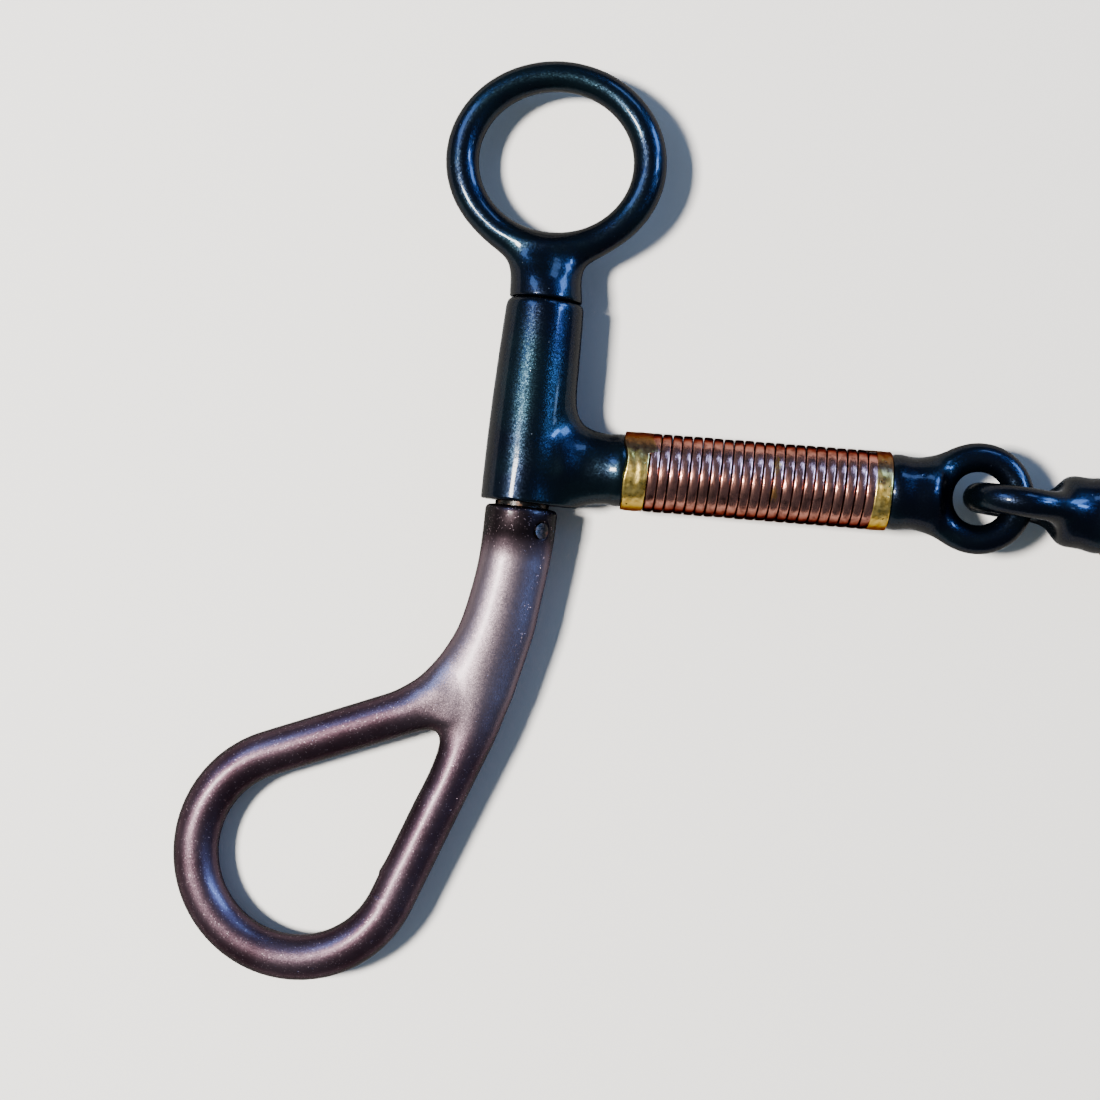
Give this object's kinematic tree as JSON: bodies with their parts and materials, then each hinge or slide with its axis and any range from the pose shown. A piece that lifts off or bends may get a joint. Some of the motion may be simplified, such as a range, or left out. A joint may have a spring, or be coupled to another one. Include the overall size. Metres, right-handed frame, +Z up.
{
  "type": "snaffle bit",
  "caption": "Single-jointed snaffle bit with copper-wound blued mouthpiece, swivelling sleeve cheeks, oval headstall rings and teardrop rein loops.",
  "frame": {"origin": "under the middle of the whole bit, on the surface that it lies on", "axes": "+X along the mouthpiece from the left cheek to the right one, +Y from the rein loops to the headstall rings, +Z up from the surface"},
  "size_m": [0.2308, 0.14, 0.0164],
  "materials": {
    "blued_steel": "gloss blued black",
    "brown_steel": "satin brown with metallic grain",
    "bright_steel": "machined",
    "brazed_brass": "brazed, filed smooth",
    "copper_wire": "flattened copper, slightly browned"
  },
  "bodies": {
    "left_mouth": {"left_mouth_arm": "blued_steel", "left_outer_band": "brazed_brass", "left_copper_winding": "copper_wire", "left_inner_band": "brazed_brass"},
    "left_cheek": {"left_headstall_ring": "blued_steel", "left_shank": "brown_steel", "left_spindle": "bright_steel", "left_thrust_washer": "bright_steel", "left_ring_lock_pin": "bright_steel", "left_shank_lock_pin": "bright_steel"},
    "right_mouth": {"right_mouth_arm": "blued_steel", "right_outer_band": "brazed_brass", "right_copper_winding": "copper_wire", "right_inner_band": "brazed_brass"},
    "right_cheek": {"right_headstall_ring": "blued_steel", "right_shank": "brown_steel", "right_spindle": "bright_steel", "right_thrust_washer": "bright_steel", "right_ring_lock_pin": "bright_steel", "right_shank_lock_pin": "bright_steel"}
  },
  "joints": [
    {"name": "left_cheek_swivel", "type": "hinge", "parent": "left_mouth", "child": "left_cheek", "pos_m": [-0.06957, 0.0104, 0.0062], "axis": [0, 1, 0], "continuous": true},
    {"name": "centre_fold", "type": "hinge", "parent": "left_mouth", "child": "right_mouth", "pos_m": [0.00302, 0.01306, 0.0082], "axis": [0, 1, 0], "range_deg": [-90, 90]},
    {"name": "right_cheek_swivel", "type": "hinge", "parent": "right_mouth", "child": "right_cheek", "pos_m": [0.06957, 0.0104, 0.0062], "axis": [0, 1, 0], "continuous": true}
  ]
}
